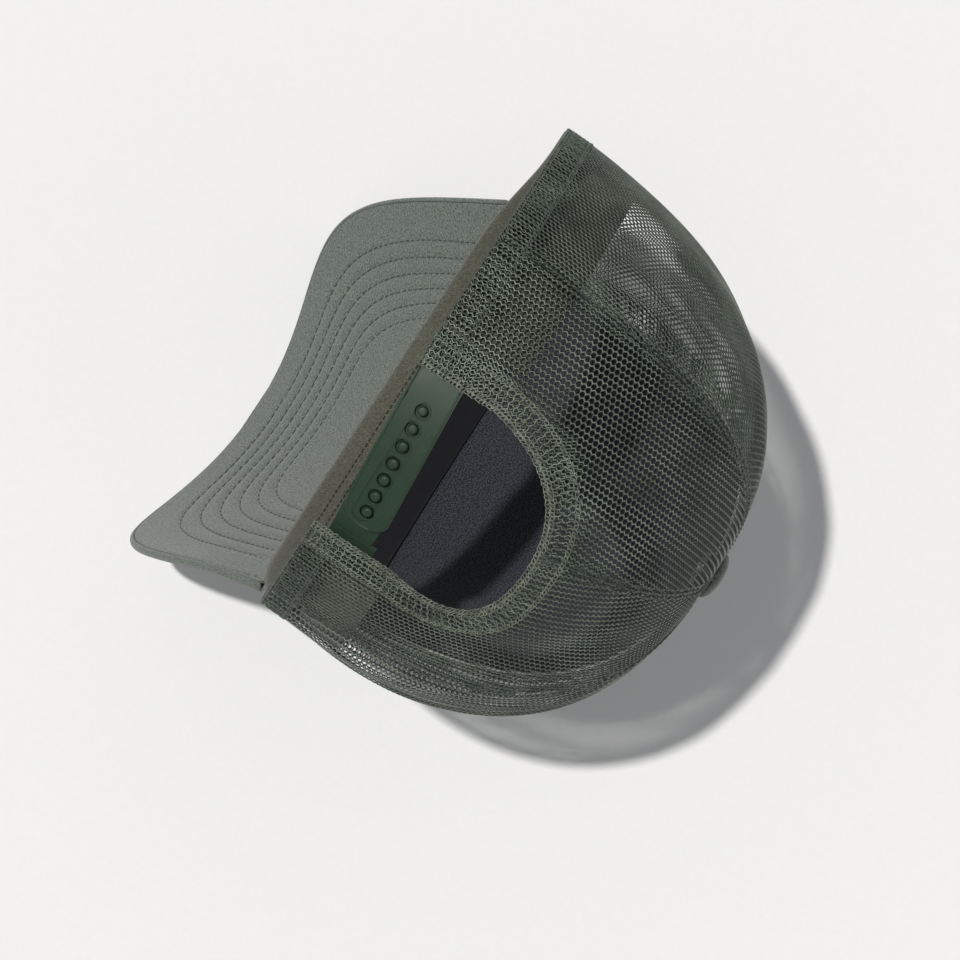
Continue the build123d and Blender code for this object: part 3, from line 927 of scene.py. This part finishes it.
def root_lift(x, y):
    """How far the visor is drawn up to the crown's edge; it fades out over VISOR_EASE mm."""
    edge = crown_front_y(x)
    top = visor_level(x, edge) + VISOR_COVER * cos(VISOR_SLOPE)
    away = np.clip((edge - y) / VISOR_EASE, 0, 1)
    return np.maximum(-VISOR_CLEAR - top, 0) * (1 - ease(away))


def visor_point(x, y, offset):
    """Point of the visor above or below a place in plan, offset from the board's middle."""
    x, y = np.broadcast_arrays(x, y)
    steep = np.arctan2(visor_bend(x + 0.1) - visor_bend(x - 0.1), 0.2)
    middle = np.stack([x, y, visor_level(x, y) + root_lift(x, y)], axis=-1)
    upright = np.cos(steep)
    normal = np.stack([-np.sin(steep), -sin(VISOR_SLOPE) * upright, cos(VISOR_SLOPE) * upright], axis=-1)
    return middle + np.broadcast_to(offset, x.shape)[..., None] * normal


def visor_outline(share, inset=0.0):
    """Plan of the visor's edge: share goes from 0 at its left root over the front to 1."""
    reach = VISOR_REACH - inset
    turn = pi * share
    across = np.abs(np.cos(turn)) ** (2 / VISOR_POWER) * np.sign(np.cos(turn))
    y = VISOR_ROOT - reach * np.sin(turn) ** (2 / VISOR_POWER)
    flare = np.where(across < 0, VISOR_FLARE * np.clip((y + FRONT_DEPTH) / FLARE_RUN, 0, 1) ** 2, 0)
    return (VISOR_HALF - inset) * across - flare, y


def crown_front_y(x):
    """Y of the crown's lower edge in front, at x."""
    edge = crown(np.linspace(-ROOT_TURN, ROOT_TURN, 289), 0.0, ROOT_DEPTH)
    return np.interp(x, edge[:, 0], edge[:, 1])


def visor_inset(x, y):
    """How far a place in plan lies inside the visor's edge, by halving."""
    low = np.zeros(np.shape(x))
    high = np.full(np.shape(x), VISOR_HALF - 1)
    for _ in range(24):
        middle = (low + high) / 2
        ahead = np.maximum(VISOR_ROOT - y, 0) / (VISOR_REACH - middle)
        outside = (np.abs(x) / (VISOR_HALF - middle)) ** VISOR_POWER + ahead ** VISOR_POWER > 1
        high = np.where(outside, middle, high)
        low = np.where(outside, low, middle)
    return low


def visor_grid(edge_inset, root_depth, across=260, along=120):
    """Plan points of the visor, from the crown's edge in the first column to its own edge in the last."""
    shares = np.linspace(0, 1, 1600)
    x, y = visor_outline(shares, edge_inset)
    shown = y < crown_front_y(x)
    turns = np.linspace(-ROOT_TURN, ROOT_TURN, 1200)
    root_turns = np.interp(x[shown][[0, -1]], crown(turns, 0.0, ROOT_DEPTH)[:, 0], turns)
    x_edge, y_edge = visor_outline(np.linspace(shares[shown][0], shares[shown][-1], across), edge_inset)
    root = crown(np.linspace(*root_turns, across), 0.0, root_depth)
    reach = np.linspace(0, 1, along)[None, :]
    x = root[:, :1] + (x_edge[:, None] - root[:, :1]) * reach
    y = root[:, 1:2] + (y_edge[:, None] - root[:, 1:2]) * reach
    return x, y


def visor_rows():
    return [ROW_FIRST + ROW_PITCH * k for k in range(ROW_COUNT)]


def visor_relief(inset):
    """How far the cover sinks: at its edge, and along each row of stitches, between which it swells."""
    sink = 0.5 * bump(inset, 0.6, 0.7)
    for row in visor_rows():
        sink = sink + 0.30 * bump(inset, row, 0.55)
    first, last = visor_rows()[0], visor_rows()[-1]
    swell = 0.12 * np.cos((inset - first) * 2 * pi / ROW_PITCH)
    return sink + np.where((inset > first) & (inset < last), swell, 0)


def build_visor_cover(side, name, node):
    """One cover of the visor: side is +1 on top and -1 underneath, where it runs on to the sweatband."""
    edge_inset = 0.9 if side > 0 else 1.1
    root_depth = -0.25 if side > 0 else 1.2
    x, y = visor_grid(edge_inset, root_depth)
    inset = visor_inset(x, y)
    outer = visor_point(x, y, side * (VISOR_COVER - visor_relief(inset)))
    inner = visor_point(x, y, side * COVER_INSIDE)
    uv = np.stack([x, y / cos(VISOR_SLOPE)], axis=-1)
    weld(make_sheet(name, outer, inner, visor_twill, [node], uv, side > 0))


def build_visor_stitches(side, name):
    parts = []
    for row in visor_rows():
        x, y = visor_outline(np.linspace(0, 1, 500), row)
        shown = y < crown_front_y(x) - 0.8
        x, y = x[shown], y[shown]
        path = visor_point(x, y, side * (VISOR_COVER - 0.36))
        high = visor_point(x, y, side * (VISOR_COVER + 0.64))
        parts.append(stitches(path, nearest_normals(path, high - path), length=2.5, pitch=3.0, radius=0.24))
    make_threads(name, parts, dark_thread)


def build_visor_edge():
    """The top cover's cloth turned round the board's edge, up to a seam with the under cover."""
    shares = np.linspace(0, 1, 320)
    x, y = visor_outline(shares)
    shown = y < crown_front_y(x) + 1.5
    rings = np.stack([visor_point(*visor_outline(shares[shown], inset), offset)
                      for inset, offset in EDGE_SECTION], axis=1)
    index = numbered(*rings.shape[:2])
    faces = ring_quads(index)[:, ::-1].tolist() + [index[0].tolist(), index[-1, ::-1].tolist()]
    lengths = path_lengths(rings[:, 3])
    across = np.arange(len(EDGE_SECTION)) * 0.7
    uv = np.stack(np.broadcast_arrays(lengths[:, None], across[None, :]), axis=-1)
    make_piece("visor_edge_cloth", rings, faces, visor_twill, ["visor_edge_fold"], uv=uv)


def build_visor_board():
    """Moulded board between the covers, cut off short of the edge cloth's ends."""
    ends = slice(4, -4)
    x, y = [part[ends] for part in visor_grid(1.4, -0.6, 160, 60)]
    outer, inner = [visor_point(x, y, offset) for offset in (BOARD_FACE, -BOARD_FACE)]
    make_sheet("visor_board_sheet", outer, inner, board_plastic, ["visor_board"],
               flip=True)


def build_visor():
    for side, word in ((1, "top"), (-1, "under")):
        build_visor_cover(side, f"visor_{word}_cloth", f"visor_{word}_cover")
    for side, word in ((1, "top"), (-1, "under")):
        build_visor_stitches(side, f"visor_{word}_stitches")
    build_visor_edge()
    build_visor_board()


# ---- plastic and metal

SHARP_TURN = radians(35)   # edges that turn by more than this are rounded
SHADE_TURN = radians(20)   # and after that, edges that turn by more than this are shaded as sharp


def polished(node, name, material, body, rounding):
    """A CAD piece with its sharp edges rounded as moulding or stamping leaves them. The rounding of a square
    edge starts with a turn of 22.5 degrees, and SHADE_TURN is less, so that flat faces keep their normals."""
    work = bmesh.new()
    work.from_mesh(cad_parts[node].data)
    bmesh.ops.remove_doubles(work, verts=work.verts, dist=0.003 * MM)
    sharp = [edge for edge in work.edges if edge.is_manifold and edge.calc_face_angle(0) > SHARP_TURN]
    bmesh.ops.bevel(work, geom=sharp, offset=rounding * MM, segments=2, profile=0.5, affect="EDGES",
                    clamp_overlap=True)
    work.verts.ensure_lookup_table()
    points = [tuple(vert.co / MM) for vert in work.verts]
    faces = [[vert.index for vert in face.verts] for face in work.faces]
    work.free()
    piece = make_piece(name, points, faces, material, [node], body)
    piece.data.set_sharp_from_angle(angle=SHADE_TURN)
    weighted = piece.modifiers.new("FaceNormals", "WEIGHTED_NORMAL")
    weighted.weight = 80
    weighted.keep_sharp = True


def strap_point(along, up, depth):
    """Points of the closure, along it and up from its tilted middle line."""
    along = np.asarray(along, float)
    turn = 180 - np.degrees(along / BACK_DEPTH)
    height = STRAP_MIDDLE - STRAP_TILT * along + up
    return crown(turn, rise_at(height, turn, depth), depth)


def build_strap_beads():
    """Raised rim along the holed strap's edges and round its free end, and a ring round each hole."""
    half = STRAP_WIDTH / 2 - BEAD_INSET
    corner = STRAP_CORNER * STRAP_WIDTH - BEAD_INSET
    tip = STRAP_REACH - BEAD_INSET
    arc = np.linspace(0, pi / 2, 10)
    along = np.concatenate([np.linspace(OPENING_HALF - 0.5, corner - tip + 0.5, 40),
                            corner - tip - corner * np.sin(arc)])
    up = np.concatenate([np.full(40, -half), corner - half - corner * np.cos(arc)])
    along = np.concatenate([along, along[::-1]])
    up = np.concatenate([up, -up[::-1]])
    parts = [tube(strap_point(along, up, STRAP_FACE + 0.22), BEAD_RADIUS, 8)]
    around = np.linspace(0, 2 * pi, 33)[:-1]
    for number in range(HOLE_COUNT):
        place = HOLE_PITCH * (number - (HOLE_COUNT - 1) / 2)
        across = place + RING_REACH * np.cos(around)
        ring = strap_point(across, RING_REACH * np.sin(around), STRAP_FACE + 0.36)
        parts.append(tube(ring, RING_RADIUS, 6, closed=True))
    make_threads("holed_strap_beads", parts, strap_plastic, "holed_strap")


def build_straps():
    build_strap_beads()
    for node, body, rounding in (
        ("holed_strap", "holed_strap", 0.22),
        ("stud_strap", "stud_strap", 0.22),
        ("holed_strap_tab", "cap", 0.45),
        ("stud_strap_tab", "cap", 0.2),
    ):
        polished(node, f"{node}_moulding", strap_plastic, body, rounding)


def build_button():
    """Cloth gathered over a domed button, and the rivet that holds it."""
    low, high = box_mm("top_button")
    radius = (high[0] - low[0]) / 2
    height = high[2] - low[2]
    centre = np.array([(low[0] + high[0]) / 2, (low[1] + high[1]) / 2, low[2]])
    around = np.linspace(0, 2 * pi, 96, endpoint=False)
    rings = []
    for out, up in BUTTON:
        pleat = 0.12 * np.cos(around * 12) * bump(up, 0.25, 0.25) * (out > 0.5)
        spread = radius * out * 0.985 + pleat
        rings.append(np.stack([centre[0] + spread * np.cos(around), centre[1] + spread * np.sin(around),
                               np.full_like(around, centre[2] + height * up)], axis=-1))
    rings = np.stack(rings)
    index = numbered(*rings.shape[:2])
    faces = ring_quads(index)[:, ::-1].tolist() + [index[-1, ::-1].tolist()]
    uv = rings[..., :2] - centre[:2]
    weld(make_piece("top_button_cloth", rings, faces, front_twill, ["top_button"], uv=uv))
    for node in ("button_rivet", "button_washer"):
        polished(node, f"{node}_metal", button_metal, "cap", 0.15)


# ---- floor, light and camera

VIEW_AZIMUTH = radians(198.6)
VIEW_ELEVATION = radians(-1.9)
VIEW_ROLL = radians(123.0)
VIEW_AIM = (18.26, -41.78)    # where the picture's middle lies from the origin, to the right and up, in mm
VIEW_DISTANCE = 1.3
VIEW_LENS = 149.8
FLOOR_HALF = 1.5
FLOOR_GAP = 0.0005
KEY_LEAN = (0.1944, -0.1728)  # how far the key light goes right and up for each step away from the camera


def view_axes():
    """The camera's right, up and backward directions: the cap lies on its front, seen from above its back."""
    back = Vector((sin(VIEW_AZIMUTH) * cos(VIEW_ELEVATION), -cos(VIEW_AZIMUTH) * cos(VIEW_ELEVATION),
                   sin(VIEW_ELEVATION)))
    level = Vector((0, 0, 1)).cross(back).normalized()
    upright = back.cross(level)
    right = level * cos(VIEW_ROLL) + upright * sin(VIEW_ROLL)
    return right, back.cross(right), back


def view_middle():
    right, up = view_axes()[:2]
    return (right * VIEW_AIM[0] + up * VIEW_AIM[1]) * MM


def build_camera():
    right, up, back = view_axes()
    camera = added("Camera", bpy.data.cameras.new("Camera"))
    camera.data.lens = VIEW_LENS
    camera.data.clip_end = 10
    matrix = Matrix((right, up, back)).transposed().to_4x4()
    matrix.translation = view_middle() + back * VIEW_DISTANCE
    camera.matrix_world = matrix
    bpy.context.scene.camera = camera


def floor_material():
    """Pale paper, seen from its lit side only, so that the cap can be viewed from in front too."""
    kind = Cloth("FloorPaper", 0.9, 0.1)
    place = kind.object_place(60.0)
    grain = kind.noise(place, 8.0, 4.0)
    kind.colour(kind.mix(grain, (0.80, 0.80, 0.80, 1), (0.84, 0.84, 0.84, 1)))
    kind.raised(grain, 0.02, 0.2)
    back = kind.node("ShaderNodeNewGeometry").outputs["Backfacing"]
    clear = kind.node("ShaderNodeBsdfTransparent").outputs[0]
    mixed = kind.node("ShaderNodeMixShader", {0: back, 1: kind.shader.outputs[0], 2: clear})
    output = kind.tree.nodes["Material Output"]
    kind.tree.links.new(mixed.outputs[0], output.inputs["Surface"])
    return kind.material


def build_floor():
    """Sheet that the cap lies on, square to the view, under the cap's lowest point in that direction."""
    right, up, back = view_axes()
    vertices = [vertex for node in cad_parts.values() for vertex in node.data.vertices]
    lowest = min(vertex.co.dot(back) for vertex in vertices)
    centre = view_middle() + back * (lowest - FLOOR_GAP)
    square = ((-1, -1), (1, -1), (1, 1), (-1, 1))
    corners = [centre + FLOOR_HALF * (right * across + up * along) for across, along in square]
    mesh = bpy.data.meshes.new("floor")
    mesh.from_pydata([tuple(corner) for corner in corners], [], [(0, 1, 2, 3)])
    mesh.materials.append(floor_material())
    floor = added("floor", mesh)
    floor.visible_shadow = False


def add_sun(name, energy, spread, colour, direction):
    """A sun lamp that shines in a direction; spread is its width in degrees."""
    light = added(name, bpy.data.lights.new(name, "SUN"))
    light.data.energy = energy
    light.data.angle = radians(spread)
    light.data.color = colour
    light.rotation_euler = direction.to_track_quat("-Z", "Y").to_euler()


def build_lights():
    right, up, back = view_axes()
    add_sun("Key", 2.5, 1.6, (1.0, 0.985, 0.96), -back + KEY_LEAN[0] * right + KEY_LEAN[1] * up)
    add_sun("Fill", 0.35, 60, (1, 1, 1), Vector((0.3, 1.0, -0.5)))
    world = bpy.data.worlds.new("Studio")
    world.use_nodes = True
    sky = world.node_tree.nodes["Background"].inputs
    sky["Color"].default_value = (0.97, 0.98, 1.0, 1)
    sky["Strength"].default_value = 0.34
    bpy.context.scene.world = world
    bpy.context.scene.view_settings.view_transform = "Standard"


# ---- assembly

build_camera()
build_floor()
build_lights()
build_front()
build_sweatband()
build_net()
build_edges()
build_seams()
build_visor()
build_straps()
build_button()
